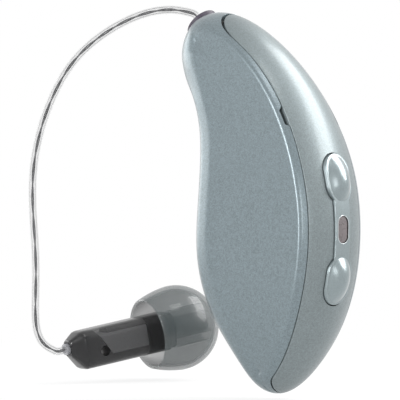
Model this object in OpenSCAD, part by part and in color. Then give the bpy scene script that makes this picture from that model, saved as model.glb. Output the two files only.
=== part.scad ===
// Behind the ear hearing aid with a receiver on a thin wire and a soft ear dome.
// The spine, which carries the rocker, points along +X. The crest points along +Z.
// The outer cheek faces -Y and the receiver reaches along +Y into the ear canal.
// The origin is the deepest point of the front edge, which rests on the ear.

/* [Case] */
// Height from tip to crest
body_h = 35.6; // [32:0.2:40]
// Depth from front edge to spine
body_d = 18.4; // [16.6:0.2:20]
// Thickness across the cheeks at the belly
body_t = 8.7; // [8.2:0.1:10]
// Thickness lost towards the head
head_taper = 2.2; // [1.2:0.1:2.8]
// Thickness lost towards the tip
tip_taper = 3.0; // [1.6:0.1:3.6]
// Depth of the soft rounding along the front edge
front_round = 3.0; // [2.2:0.1:3.4]
// Depth of the rounding at the nose and at the tip
nose_round = 1.9; // [1.5:0.1:2.1]
// Height of the crown that the spine has over its sharp edges
spine_crown = 1.45; // [1:0.05:1.7]
// Wall of the case
wall = 0.8; // [0.6:0.05:0.9]
// Gap of the seam round the spine cover
seam_gap = 0.08; // [0.05:0.01:0.12]

/* [Microphone ports] */
// Width of the front port, at the cover's upper end
front_port_w = 0.32; // [0.2:0.02:0.4]
// Width of the rear port, in the seam
rear_port_w = 0.32; // [0.2:0.02:0.4]
// Length of the rear port
rear_port_l = 2.2; // [1.6:0.1:2.8]

/* [Rocker] */
// Length of the rocker
rocker_l = 14.0; // [13:0.1:15]
// Width of each push pad
pad_w = 3.2; // [2.8:0.1:3.4]
// Length of each push pad
pad_l = 4.6; // [4:0.1:5]
// Height of the push pads over the spine
pad_rise = 0.9; // [0.6:0.05:1.1]
// Width of the bar that joins the pads
bar_w = 2.0; // [1.9:0.05:2.3]
// Height of the bar over the spine
bar_rise = 0.12; // [0.05:0.01:0.2]
// Gap between the rocker and the edge of its opening
rocker_gap = 0.16; // [0.16:0.01:0.22]
// Depth of the pivot under the spine
pivot_depth = 2.4; // [2.3:0.05:2.6]
// Diameter of the pivot pins
pivot_d = 0.8; // [0.6:0.05:0.9]
// Width of the indicator window
lens_w = 1.3; // [1.1:0.05:1.3]
// Length of the indicator window
lens_l = 2.1; // [1.8:0.1:2.3]

/* [Electronics] */
// Depth of the board's face under the spine
board_depth = 4.4; // [4.2:0.05:4.6]
// Thickness of the board
board_t = 0.6; // [0.4:0.05:0.8]
// Width of the board
board_w = 5.4; // [4.6:0.1:5.6]
// Length of the board
board_l = 17.8; // [17:0.2:18]
// Diameter of the battery cell
cell_d = 7.8; // [7.2:0.1:7.9]
// Thickness of the battery cell
cell_t = 5.4; // [4.4:0.1:5.4]

/* [Receiver plug] */
// Diameter of the plug's domed cap
cap_d = 3.2; // [3:0.05:3.3]
// Radius of the cap's dome
cap_dome_r = 3.0; // [2.6:0.1:4]
// Height that the cap stands out of the head
cap_rise = 0.45; // [0.3:0.05:0.6]
// Depth of the bore that the cap sits in
cap_seat = 1.35; // [1.3:0.05:1.5]
// Length of the plug's shank
shank_l = 3.3; // [3:0.1:3.4]

/* [Receiver] */
// Diameter of the thin wire's tube
wire_d = 0.8; // [0.6:0.05:1]
// Height of the receiver shell
shell_h = 3.8; // [3.6:0.1:4.2]
// Width of the receiver shell
shell_w = 3.1; // [2.9:0.1:3.5]
// Length of the receiver shell
shell_l = 11.4; // [11:0.1:12.4]
// Wall of the receiver shell
shell_wall = 0.45; // [0.35:0.05:0.5]
// Radius of the sound spout
spout_r = 1.0; // [0.9:0.05:1.1]
// Radius of the bore that holds a retention tail
tail_r = 0.5; // [0.4:0.05:0.55]

/* [Ear dome] */
// Outer diameter of the dome
dome_d = 8.4; // [7.6:0.1:10]
// Thickness of the dome's skin
dome_skin = 0.35; // [0.3:0.05:0.5]
// Radius of the dome's inner sleeve
sleeve_r = 1.9; // [1.7:0.05:2.1]

/* [Hidden] */
$fn = 48;

// Overrun of every cutting tool
cut = 0.5;
// Clearance between pieces that are dropped in beside each other
fit_gap = 0.1;
// Running clearance of a pin in its bore
pin_gap = 0.03;

// Control points of the side outline, as shares of the depth and the height,
// from the lower spine up over the head and down the front edge to the tip
outline_shares = [[0.845, 0.09], [1.015, 0.325], [1, 0.59], [0.755, 0.83], [0.385, 0.985],
    [0.07, 1.02], [-0.045, 0.88], [0.11, 0.78], [0.155, 0.645], [0.13, 0.5], [0.105, 0.35],
    [0.205, 0.195], [0.395, 0.075], [0.565, -0.04]];
spans = len(outline_shares);
// Places along the outline, as shares of the way round it counted in control points
rest_share = 7.16;
lamp_share = 0.41;
exit_share = 4.27;
cover_top_share = 3.46;
cover_low_share = -1.92;
rear_port_share = 1.655;
front_mic_share = 2.9;
rear_mic_share = 1.66;
contact_share = 10.08;

// Belly zone in which both cheeks are flat, as shares of the height
flat_low_share = 0.333;
flat_top_share = 0.558;
// Share of the outer rounding that the inside of the wall follows
front_liner_share = 0.6;
spine_liner_share = 0.8;
// Half-width of the cover, as a share of the half-thickness
cover_share = 0.834;
// Length of the cover's rounded corners, counted in control points
corner_top_share = 0.62;
corner_low_share = 0.42;
corner_power = 2.3;
corner_shares = [0, 0.015, 0.05, 0.12, 0.24, 0.42, 0.68, 1];
corner_count = len(corner_shares);

// Outline

function wrap(i) = i - spans * floor(i / spans);
function control(i) = [outline_shares[wrap(i)][0] * body_d, outline_shares[wrap(i)][1] * body_h];
function blend(w, i) = w[0] * control(i) + w[1] * control(i + 1) + w[2] * control(i + 2)
    + w[3] * control(i + 3);
function curve_weights(t) = [pow(1 - t, 3), 3 * t * t * t - 6 * t * t + 4,
    -3 * t * t * t + 3 * t * t + 3 * t + 1, t * t * t] / 6;
function slope_weights(t) = [-pow(1 - t, 2), 3 * t * t - 4 * t, -3 * t * t + 2 * t + 1, t * t] / 2;
function raw_point(u) = blend(curve_weights(u - floor(u)), floor(u));
function slope(u) = blend(slope_weights(u - floor(u)), floor(u));
function outward(u) = [slope(u)[1], -slope(u)[0]] / norm(slope(u));
function edge_point(u) = raw_point(u) - raw_point(rest_share);
function ease(a, b, x) = let (t = min(1, max(0, (x - a) / (b - a)))) t * t * (3 - 2 * t);

// Skin of the case

function around(u) = u - spans * floor((u + 2) / spans);
// Places where the spine's crown fades out and in, and the front's rounding in and out
spine_fade_shares = [3.9, 5.9, 11.3, 13.3];
front_fade_shares = [5.2, 7, 9.6, 12.2];
function fade_in(f, k, u) = ease(f[k], f[k + 1], around(u));
function spine_share(u) = max(1 - fade_in(spine_fade_shares, 0, u), fade_in(spine_fade_shares, 2, u));
function front_share(u) = fade_in(front_fade_shares, 0, u) * (1 - fade_in(front_fade_shares, 2, u));
function rounding(u) = let (front = nose_round + (front_round - nose_round) * front_share(u))
    front + (spine_crown - front) * spine_share(u);
function half_t(u) = let (z = raw_point(u)[1] / body_h)
    body_t / 2
    - head_taper / 2 * pow(max(0, z - flat_top_share) / (1 - flat_top_share), 1.5)
    - tip_taper / 2 * pow(max(0, flat_low_share - z) / flat_low_share, 2.5);
function fall(u, v) = 1 - pow(max(0, 1 - v * v), 0.5 + 0.5 * spine_share(u));
function skin(u, v) = let (p = edge_point(u) - rounding(u) * fall(u, v) * outward(u))
    [p[0], v * half_t(u), p[1]];
function liner_share(u) = front_liner_share + (spine_liner_share - front_liner_share) * spine_share(u);
function liner(u, v) = let (p = edge_point(u)
        - (liner_share(u) * rounding(u) * fall(u, v) + wall) * outward(u))
    [p[0], v * (half_t(u) - wall), p[1]];

// Seam and ports

function corner(t) = pow(1 - pow(1 - min(1, max(0, t)), corner_power), 1 / corner_power);
function seam_share(u) = cover_share * corner((u - cover_low_share) / corner_low_share)
    * corner((cover_top_share - u) / corner_top_share);
rear_port_half = rear_port_l / 2 / norm(slope(rear_port_share));
port_lip_share = 0.01;
function in_rear_port(u) = abs(u - rear_port_share) < rear_port_half + port_lip_share / 2;
function rim_share(u) = seam_share(u) + (in_rear_port(u) ? rear_port_w / half_t(u) : 0);

spine_stations = concat(
    [for (s = corner_shares) cover_low_share + s * corner_low_share],
    [for (k = [1:11]) cover_low_share + corner_low_share
        + k / 12 * (rear_port_share - rear_port_half - port_lip_share - cover_low_share - corner_low_share)],
    [rear_port_share - rear_port_half - port_lip_share, rear_port_share - rear_port_half, rear_port_share,
        rear_port_share + rear_port_half, rear_port_share + rear_port_half + port_lip_share],
    [for (k = [1:4]) rear_port_share + rear_port_half + port_lip_share
        + k / 5 * (cover_top_share - corner_top_share - rear_port_share - rear_port_half - port_lip_share)],
    [for (k = [corner_count - 1:-1:0]) cover_top_share - corner_shares[k] * corner_top_share]);
spine_count = len(spine_stations);
front_stations = [for (k = [1:spine_count]) cover_top_share
    + k / (spine_count + 1) * (spans + cover_low_share - cover_top_share)];
stations = concat(spine_stations, front_stations);
skin_steps = 6;
liner_steps = 3;

function quad(a, b, c, d) = [[a, b, c], [a, c, d]];
function both_ways(faces, flip) = flip ? [for (f = faces) [f[2], f[1], f[0]]] : faces;
function flat(lists) = [for (l = lists) each l];
function across(rim, j, steps) = sin(asin(rim) + (90 - asin(rim)) * j / steps);

// One half of the case: side is -1 for the outer cheek and 1 for the inner one
module case_shell(side) {
    n = len(stations);
    a = skin_steps + 1;
    b = liner_steps + 1;
    rims = [for (k = [0:n - 1]) k < spine_count ? rim_share(stations[k]) : 0];
    outer = [for (k = [0:n - 1]) for (j = [0:skin_steps])
        skin(stations[k], across(rims[k], j, skin_steps))];
    inner = [for (k = [0:n - 1]) for (j = [0:liner_steps])
        liner(stations[k], across(rims[k], j, liner_steps))];
    points = [for (p = concat(outer, inner)) [p[0], side * p[1], p[2]]];
    o = function (k, j) (k % n) * a + j;
    i = function (k, j) n * a + (k % n) * b + j;
    faces = concat(
        flat([for (k = [0:n - 1]) for (j = [0:skin_steps - 1])
            quad(o(k, j), o(k + 1, j), o(k + 1, j + 1), o(k, j + 1))]),
        flat([for (k = [0:n - 1]) for (j = [0:liner_steps - 1])
            quad(i(k, j), i(k, j + 1), i(k + 1, j + 1), i(k + 1, j))]),
        flat([for (k = [0:n - 1]) quad(o(k + 1, 0), o(k, 0), i(k, 0), i(k + 1, 0))]),
        flat([for (k = [0:spine_count - 2]) let (s = spine_count - 1 - k, f = spine_count + k)
            quad(o(s, skin_steps), o(f, skin_steps), o(f + 1, skin_steps), o(s - 1, skin_steps))]),
        flat([for (k = [0:spine_count - 2]) let (s = spine_count - 1 - k, f = spine_count + k)
            quad(i(s - 1, liner_steps), i(f + 1, liner_steps), i(f, liner_steps),
                i(s, liner_steps))]));
    polyhedron(points, both_ways(faces, side < 0), convexity = 6);
}

// Frames that the pieces are placed in

module at_edge(u) {
    translate([edge_point(u)[0], 0, edge_point(u)[1]])
        rotate([0, -atan2(outward(u)[1], outward(u)[0]), 0])
            children();
}

exit_angle = atan2(outward(exit_share)[0], outward(exit_share)[1]);
exit_point = edge_point(exit_share);
module at_exit() {
    translate([exit_point[0], 0, exit_point[1]])
        rotate([0, exit_angle, 0])
            children();
}

lamp_point = edge_point(lamp_share);
module at_lamp() {
    translate([lamp_point[0], 0, lamp_point[1]])
        children();
}

// Nose of the receiver shell, where the wire goes in, and the way the receiver points
receiver_x = -22.8;
receiver_y = 4;
receiver_z = -19.6;
receiver_point = [receiver_x, receiver_y, receiver_z];
receiver_yaw = 72;
receiver_pitch = 10.2;
module at_receiver() {
    translate(receiver_point)
        rotate([0, -receiver_pitch, receiver_yaw])
            children();
}

// A flat bar with round ends, length along X, thickness along Z from 0
module slot_bar(l, w, t) {
    linear_extrude(t) {
        translate([-(l - w) / 2, 0])
            circle(d = w);
        translate([(l - w) / 2, 0])
            circle(d = w);
        translate([-(l - w) / 2, -w / 2])
            square([l - w, w]);
    }
}

// Case

cap_gap = 0.05;
module exit_cut() {
    at_exit()
        translate([0, 0, -cap_seat - wall])
            cylinder(d = cap_d + 2 * cap_gap, h = cap_seat + 2 * wall);
}

contact_r = 0.75;
contact_pitch = 3.2;
module at_contacts() {
    at_edge(contact_share)
        for (way = [-1, 1])
            translate([0, 0, way * contact_pitch / 2])
                children();
}

module contact_holes() {
    at_contacts()
        translate([-wall - 2 * cut, 0, 0])
            rotate([0, 90, 0])
                cylinder(r = contact_r + pin_gap, h = wall + 3 * cut);
}

module case_half(side) {
    color([0.52, 0.58, 0.6])
        difference() {
            case_shell(side);
            exit_cut();
            contact_holes();
        }
}

module outer_case_half() {
    case_half(-1);
}

module inner_case_half() {
    case_half(1);
}

// Spine cover

cover_start = cover_low_share + seam_gap / norm(slope(cover_low_share));
cover_end = cover_top_share - front_port_w / norm(slope(cover_top_share));
cover_stations = concat([for (s = corner_shares) cover_start + s * corner_low_share],
    [for (u = spine_stations) if (u > cover_start + corner_low_share + port_lip_share
        && u < cover_end - corner_top_share - port_lip_share
        && abs(abs(u - rear_port_share) - rear_port_half) > port_lip_share / 2) u],
    [for (k = [corner_count - 1:-1:0]) cover_end - corner_shares[k] * corner_top_share]);
cover_steps = 8;
// Least half-width of the cover, at its rounded ends
end_half = 0.1;
function cover_half(u) = max(end_half, cover_share * half_t(u) * corner((u - cover_start) / corner_low_share)
    * corner((cover_end - u) / corner_top_share) - seam_gap) / half_t(u);

module cover_shell() {
    n = len(cover_stations);
    a = cover_steps + 1;
    halves = [for (u = cover_stations) cover_half(u)];
    top = [for (k = [0:n - 1]) for (j = [0:cover_steps])
        skin(cover_stations[k], halves[k] * (2 * j / cover_steps - 1))];
    under = [for (k = [0:n - 1]) for (j = [0:cover_steps])
        liner(cover_stations[k], halves[k] * (2 * j / cover_steps - 1))];
    t = function (k, j) k * a + j;
    u = function (k, j) n * a + k * a + j;
    faces = concat(
        flat([for (k = [0:n - 2]) for (j = [0:cover_steps - 1])
            quad(t(k, j), t(k + 1, j), t(k + 1, j + 1), t(k, j + 1))]),
        flat([for (k = [0:n - 2]) for (j = [0:cover_steps - 1])
            quad(u(k, j), u(k, j + 1), u(k + 1, j + 1), u(k + 1, j))]),
        flat([for (k = [0:n - 2]) quad(t(k + 1, 0), t(k, 0), u(k, 0), u(k + 1, 0))]),
        flat([for (k = [0:n - 2]) quad(t(k, cover_steps), t(k + 1, cover_steps),
            u(k + 1, cover_steps), u(k, cover_steps))]),
        flat([for (j = [0:cover_steps - 1]) quad(t(0, j), t(0, j + 1), u(0, j + 1), u(0, j))]),
        flat([for (j = [0:cover_steps - 1]) quad(t(n - 1, j + 1), t(n - 1, j), u(n - 1, j),
            u(n - 1, j + 1))]));
    polyhedron(concat(top, under), faces, convexity = 6);
}

// Outline of the rocker, widened by grow on every side, extruded along X from x0 to x1
module rocker_outline(grow, x0, x1) {
    translate([x0, 0, 0])
        rotate([0, 90, 0]) {
            for (way = [-1, 1])
                translate([way * (rocker_l - pad_l) / 2, 0, 0])
                    slot_bar(pad_l + 2 * grow, pad_w + 2 * grow, x1 - x0);
            translate([-(rocker_l - pad_l) / 2, -bar_w / 2 - grow, 0])
                cube([rocker_l - pad_l, bar_w + 2 * grow, x1 - x0]);
        }
}

module spine_cover() {
    color([0.68, 0.73, 0.74])
        difference() {
            cover_shell();
            at_lamp()
                rocker_outline(rocker_gap, -pivot_depth, pad_rise);
        }
}

// Rocker button

// The spine under the rocker is a round arc
pad_reach = rocker_l / 2;
function reach_point(way) = edge_point(lamp_share + way * pad_reach / norm(slope(lamp_share)));
arc_drop = lamp_point[0] - (reach_point(1)[0] + reach_point(-1)[0]) / 2;
arc_r = (pad_reach * pad_reach + arc_drop * arc_drop) / (2 * arc_drop);
// Thickness of the rocker's plate under the spine
plate_t = 1.1;
lug_w = 3.4;
lug_l = 3.6;
lug_top = 1.4;
lug_low = 3.1;
lens_gap = 0.1;
lens_swing = 0.2;
switch_t = 0.65;
snap_t = 0.25;
plunger_r = 0.6;
plunger_gap = 0.05;
plunger_low = board_depth - switch_t - snap_t - plunger_gap;
pad_sink = 0.5;
pad_inset = 0.05;
ring_facets = 160;

module spine_arc(rise, sink) {
    translate([-arc_r, 0, 0])
        rotate([90, 0, 0])
            translate([0, 0, -pad_w])
                difference() {
                    cylinder(r = arc_r + rise, h = 2 * pad_w, $fn = ring_facets);
                    translate([0, 0, -cut])
                        cylinder(r = arc_r - sink, h = 2 * (pad_w + cut), $fn = ring_facets);
                }
}

// A push pad is a rounded oblong dome on a short wall that runs down into the plate
pad_power = 2.25;
pad_rings = 8;
pad_sides = 28;
function pad_reach_share(a) = pow(pow(abs(cos(a)), pad_power) + pow(abs(sin(a)), pad_power),
    -1 / pad_power);
function pad_height(q) = pad_rise * pow(max(0, 1 - pow(q, pad_power)), 0.6);
function spine_x(z) = sqrt(arc_r * arc_r - z * z) - arc_r;
function pad_point(way, q, a, x) = let (y = (pad_w / 2 - pad_inset) * q * pad_reach_share(a) * cos(a),
        z = way * (rocker_l - pad_l) / 2 + (pad_l / 2 - pad_inset) * q * pad_reach_share(a) * sin(a))
    [spine_x(z) + x, y, z];
module push_pad(way) {
    n = pad_sides;
    rings = concat([for (k = [1:pad_rings]) for (j = [0:n - 1]) let (q = sin(90 * k / pad_rings))
            pad_point(way, q, 360 * j / n, pad_height(q))],
        [for (j = [0:n - 1]) pad_point(way, 1, 360 * j / n, -pad_sink)],
        [pad_point(way, 0, 0, pad_rise), pad_point(way, 0, 0, -pad_sink)]);
    last = (pad_rings + 1) * n;
    faces = concat(
        flat([for (k = [0:pad_rings - 1]) for (j = [0:n - 1]) let (m = (j + 1) % n)
            quad(k * n + j, k * n + m, (k + 1) * n + m, (k + 1) * n + j)]),
        [for (j = [0:n - 1]) [last, (j + 1) % n, j]],
        [for (j = [0:n - 1]) [last + 1, last - n + j, last - n + (j + 1) % n]]);
    polyhedron(rings, faces, convexity = 4);
}

module lens_well(w, l, x0, x1) {
    translate([x0, 0, 0])
        rotate([0, 90, 0])
            slot_bar(l, w, x1 - x0);
}

module rocker_button() {
    color([0.66, 0.71, 0.72])
        at_lamp()
            difference() {
                union() {
                    intersection() {
                        spine_arc(bar_rise, plate_t);
                        rocker_outline(0, -pivot_depth, pad_rise);
                    }
                    for (way = [-1, 1])
                        push_pad(way);
                    translate([-lug_low, -lug_w / 2, -lug_l / 2])
                        cube([lug_low - lug_top, lug_w, lug_l]);
                    translate([-lug_top, -bar_w / 2, -lug_l / 2])
                        cube([lug_top - plate_t / 2, bar_w, lug_l]);
                    for (way = [-1, 1])
                        translate([-plunger_low, 0, way * (rocker_l - pad_l) / 2])
                            rotate([0, 90, 0])
                                cylinder(r = plunger_r, h = plunger_low - plate_t);
                }
                lens_well(lens_w + 2 * lens_gap, lens_l + 2 * lens_swing, -lug_low - cut, pad_rise);
                translate([-pivot_depth, lug_w, 0])
                    rotate([90, 0, 0])
                        cylinder(d = pivot_d + 2 * pin_gap, h = 2 * lug_w);
            }
}

// Pivot, bracket and indicator

ear_t = 0.6;
ear_gap = 0.1;
pin_end = lug_w / 2 + ear_gap + ear_t;
pin_start = lens_w / 2 + 2 * lens_gap;

module pivot_pins() {
    color([0.75, 0.76, 0.78])
        at_lamp()
            for (side = [-1, 1])
                translate([-pivot_depth, side * (pin_start + pin_end) / 2, 0])
                    rotate([90, 0, 0])
                        cylinder(d = pivot_d, h = pin_end - pin_start, center = true);
}

base_t = 0.8;
module rocker_bracket() {
    color([0.2, 0.21, 0.23])
        at_lamp()
            difference() {
                union() {
                    for (side = [-1, 1])
                        translate([-board_depth, side * (lug_w / 2 + ear_gap + ear_t / 2) - ear_t / 2,
                            -lug_l / 2])
                            cube([board_depth - lug_top, ear_t, lug_l]);
                    translate([-board_depth, -pin_end, -lug_l / 2])
                        cube([base_t, 2 * pin_end, lug_l]);
                }
                lens_well(lens_w + 2 * lens_gap, lens_l + 2 * lens_gap, -board_depth - cut,
                    -board_depth + base_t + cut);
                translate([-pivot_depth, 2 * lug_w, 0])
                    rotate([90, 0, 0])
                        cylinder(d = pivot_d + 2 * pin_gap, h = 4 * lug_w);
            }
}

lamp_t = 0.5;
lens_recess = 0.1;
module indicator_lens() {
    color([0.36, 0.3, 0.33])
        at_lamp()
            lens_well(lens_w, lens_l, -board_depth + lamp_t, -lens_recess);
}

module indicator_lamp() {
    color([0.9, 0.88, 0.75])
        at_lamp()
            translate([-board_depth, -lens_w / 2, -lens_w / 2])
                cube([lamp_t, lens_w, lens_w]);
}

// Board and its parts

mic_t = 1.1;
mic_w = 2.6;
mic_l = 1.9;
mic_depth = 3.0;
mic_low_z = edge_point(rear_mic_share)[1] - lamp_point[1]
    - mic_depth * outward(rear_mic_share)[1] - mic_l / 2 * outward(rear_mic_share)[0];
// Room between the board's upper end and the rear microphone
board_room = 0.26935;
board_top = mic_low_z - board_room;
module on_board(z) {
    at_lamp()
        translate([-board_depth, 0, z])
            children();
}

module main_board() {
    color([0.1, 0.32, 0.2])
        on_board(board_top - board_l)
            translate([-board_t, -board_w / 2, 0])
                cube([board_t, board_w, board_l]);
}

switch_w = 2.2;
module tact_switch(way) {
    on_board(way * (rocker_l - pad_l) / 2)
        translate([0, -switch_w / 2, -switch_w / 2])
            cube([switch_t, switch_w, switch_w]);
}

module upper_switch() {
    color([0.85, 0.84, 0.8])
        tact_switch(1);
}

module lower_switch() {
    color([0.85, 0.84, 0.8])
        tact_switch(-1);
}

snap_r = 0.8;
module snap_dome(way) {
    on_board(way * (rocker_l - pad_l) / 2)
        translate([switch_t, 0, 0])
            rotate([0, 90, 0])
                cylinder(r1 = snap_r, r2 = snap_r / 2, h = snap_t);
}

module upper_snap_dome() {
    color([0.78, 0.78, 0.76])
        snap_dome(1);
}

module lower_snap_dome() {
    color([0.78, 0.78, 0.76])
        snap_dome(-1);
}

chip_t = 1.3;
chip_w = 4.0;
chip_l = 4.4;
// Distance of the chip's middle from the board's upper end
chip_reach = 3.5;
module signal_processor() {
    color([0.16, 0.16, 0.18])
        on_board(board_top - chip_reach)
            translate([-board_t - chip_t, -chip_w / 2, -chip_l / 2])
                cube([chip_t, chip_w, chip_l]);
}

radio_t = 0.9;
radio_w = 3.2;
radio_l = 2.4;
// Room between the radio and the lower switch
radio_room = 1.0;
module radio_module() {
    color([0.7, 0.71, 0.73])
        on_board(-(rocker_l - pad_l + switch_w + radio_l) / 2 - radio_room)
            translate([0, -radio_w / 2, -radio_l / 2])
                cube([radio_t, radio_w, radio_l]);
}

// Battery

tab_t = 0.15;
frame_bar_t = 0.5;
ring_t = 0.4;
// Distance of the cell's middle below the indicator
cell_drop = 2.0;
lid_inset = 0.6;
cell_x = lamp_point[0] - board_depth - board_t - frame_bar_t - fit_gap - cell_d / 2;
cell_z = lamp_point[1] - cell_drop;
module at_cell() {
    translate([cell_x, 0, cell_z])
        children();
}

module battery_cell() {
    lid_r = cell_d / 2 - lid_inset;
    rim_t = 0.4;
    color([0.8, 0.81, 0.82])
        at_cell()
            rotate([90, 0, 0]) {
                translate([0, 0, -cell_t / 2])
                    cylinder(d = cell_d, h = cell_t - rim_t);
                translate([0, 0, cell_t / 2 - rim_t])
                    cylinder(r = lid_r, h = rim_t);
            }
}

tab_w = 1.8;
module battery_tabs() {
    color([0.82, 0.78, 0.66])
        for (side = [-1, 1])
            at_cell()
                translate([0, side * (cell_t / 2 + tab_t / 2) - tab_t / 2, -tab_w / 2])
                    cube([cell_d / 2 + frame_bar_t + fit_gap, tab_t, tab_w]);
}

// Frame that carries the cell, the board and the socket

ring_w = 2.0;
foot_w = 2.0;
neck_w = 1.2;
neck_t = 1.4;
frame_low = -6.6;
// Room between the frame and the chip
chip_room = 0.5;
frame_top = board_top - chip_reach - chip_l / 2 - chip_room;
socket_wall = 0.35;
front_liner_x = liner(9, 0.3)[0] + fit_gap;
socket_deep = cap_seat + shank_l + socket_wall + fit_gap;

module inner_frame() {
    color([0.24, 0.25, 0.27])
        union() {
            on_board(frame_low)
                translate([-board_t - frame_bar_t, -ring_w, 0])
                    cube([frame_bar_t, 2 * ring_w, frame_top - frame_low]);
            difference() {
                union() {
                    at_cell()
                        rotate([90, 0, 0])
                            cylinder(r = cell_d / 2 + fit_gap + ring_t, h = ring_w, center = true);
                    translate([front_liner_x, -foot_w / 2, cell_z - foot_w / 2])
                        cube([cell_x - front_liner_x, foot_w, foot_w]);
                }
                at_cell()
                    rotate([90, 0, 0])
                        cylinder(r = cell_d / 2 + fit_gap, h = 2 * ring_w, center = true);
            }
            neck();
        }
}

// Beam that runs from the ring round the cell up to the receiver socket
module neck() {
    foot_z = cell_z + cell_d / 2 + fit_gap + ring_t / 2;
    neck_point = exit_point - socket_deep * outward(exit_share);
    neck_side = [outward(exit_share)[1], -outward(exit_share)[0]];
    translate([0, neck_w / 2, 0])
        rotate([90, 0, 0])
            linear_extrude(neck_w)
                polygon([[cell_x - neck_t / 2, foot_z], [cell_x + neck_t / 2, foot_z],
                    neck_point + neck_t / 2 * neck_side, neck_point - neck_t / 2 * neck_side]);
}

// Microphones

mic_gasket_t = 0.6;
mic_port_r = 0.3;

module microphone(u) {
    color([0.78, 0.7, 0.45])
        at_edge(u)
            translate([-mic_depth, -mic_w / 2, -mic_l / 2])
                cube([mic_t, mic_w, mic_l]);
}

module mic_gasket(u) {
    color([0.12, 0.12, 0.13])
        at_edge(u)
            translate([-mic_depth + mic_t, 0, 0])
                difference() {
                    translate([0, -mic_w / 2, -mic_l / 2])
                        cube([mic_gasket_t, mic_w, mic_l]);
                    translate([-cut, 0, 0])
                        rotate([0, 90, 0])
                            cylinder(r = mic_port_r, h = mic_gasket_t + 2 * cut);
                }
}

module front_microphone() {
    microphone(front_mic_share);
}

module rear_microphone() {
    microphone(rear_mic_share);
}

module front_mic_gasket() {
    mic_gasket(front_mic_share);
}

module rear_mic_gasket() {
    mic_gasket(rear_mic_share);
}

// Fine meshes that lie under the two rear ports
mesh_t = 0.1;
mesh_w = 0.6;
mesh_l = 2.0;
module mic_meshes() {
    color([0.3, 0.31, 0.32])
        for (side = [-1, 1]) {
            p = liner(rear_port_share, cover_share);
            translate([p[0], side * (p[1] - mesh_w / 2), p[2]])
                rotate([0, -atan2(outward(rear_port_share)[1], outward(rear_port_share)[0]), 0])
                    translate([-mesh_t - 2 * fit_gap, -mesh_w / 2, -mesh_l / 2])
                        cube([mesh_t, mesh_w, mesh_l]);
        }
}

// Telecoil and charge contacts

coil_r = 0.9;
coil_l = 5.0;
coil_z = -11.9;
module telecoil() {
    color([0.65, 0.38, 0.2])
        on_board(coil_z)
            translate([-board_t - coil_r, 0, 0])
                cylinder(r = coil_r, h = coil_l);
}

contact_sink = 0.1;
contact_l = 1.6;
module charge_contacts() {
    color([0.85, 0.68, 0.3])
        at_contacts()
            translate([-contact_sink - contact_l, 0, 0])
                rotate([0, 90, 0])
                    cylinder(r = contact_r, h = contact_l);
}

carrier_t = 0.8;
carrier_w = 2.0;
module contact_carrier() {
    color([0.2, 0.2, 0.22])
        at_edge(contact_share)
            translate([-contact_sink - contact_l - carrier_t, -carrier_w / 2,
                -contact_pitch / 2 - contact_r])
                cube([carrier_t, carrier_w, contact_pitch + 2 * contact_r]);
}

// Receiver socket and plug

shank_h = 2.0;
shank_w = 2.5;
plug_gap = 0.06;

module upright_slot(l, w, z0, z1) {
    translate([0, 0, z0])
        rotate([0, 0, 90])
            slot_bar(w, l, z1 - z0);
}

module receiver_socket() {
    deep = socket_deep;
    color([0.14, 0.14, 0.16])
        at_exit()
            difference() {
                upright_slot(shank_h + 2 * (plug_gap + socket_wall), shank_w + 2 * (plug_gap + socket_wall),
                    -deep, -cap_seat);
                upright_slot(shank_h + 2 * plug_gap, shank_w + 2 * plug_gap,
                    -deep + socket_wall, cut);
                for (y = pin_ys)
                    translate([-shank_h, y - pin_w / 2 - fit_gap / 2, -deep + socket_wall])
                        cube([shank_h, pin_w + fit_gap, shank_l]);
            }
}

pin_w = 0.35;
pin_pitch = 0.6;
pin_ys = [-pin_pitch, 0, pin_pitch];
pin_t = 0.12;
module socket_contacts() {
    color([0.85, 0.7, 0.35])
        at_exit()
            for (y = pin_ys)
                translate([-shank_h / 2 - plug_gap - pin_t, y - pin_w / 2,
                    -cap_seat - shank_l])
                    cube([pin_t, pin_w, shank_l * 0.8]);
}

clip_t = 0.25;
module retention_clip() {
    color([0.75, 0.76, 0.78])
        at_exit()
            translate([shank_h / 2 + plug_gap + socket_wall, -shank_w / 2, -cap_seat - shank_l])
                cube([clip_t, shank_w, shank_l / 2]);
}

seal_t = 0.3;
dome_flat = 0.03;
module receiver_plug() {
    color([0.27, 0.25, 0.31])
        at_exit()
            difference() {
                union() {
                    intersection() {
                        translate([0, 0, -cap_seat + seal_t])
                            cylinder(d = cap_d, h = cap_seat - seal_t + cap_rise);
                        translate([0, 0, cap_rise + dome_flat - cap_dome_r])
                            sphere(r = cap_dome_r);
                    }
                    upright_slot(shank_h, shank_w, -cap_seat - shank_l, -cap_seat / 2);
                }
                for (y = pin_ys)
                    translate([-shank_h / 2 - cut, y - pin_w / 2, -cap_seat - shank_l - cut])
                        cube([cut + pin_t, pin_w, shank_l]);
            }
}

module plug_contacts() {
    color([0.85, 0.7, 0.35])
        at_exit()
            for (y = pin_ys)
                translate([-shank_h / 2, y - pin_w / 2, -cap_seat - shank_l])
                    cube([pin_t, pin_w, shank_l - cut]);
}

module plug_seal() {
    color([0.1, 0.1, 0.1])
        at_exit()
            difference() {
                translate([0, 0, -cap_seat])
                    cylinder(d = cap_d, h = seal_t);
                upright_slot(shank_h, shank_w, -cap_seat - cut, cut);
            }
}

// Receiver wire

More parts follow.
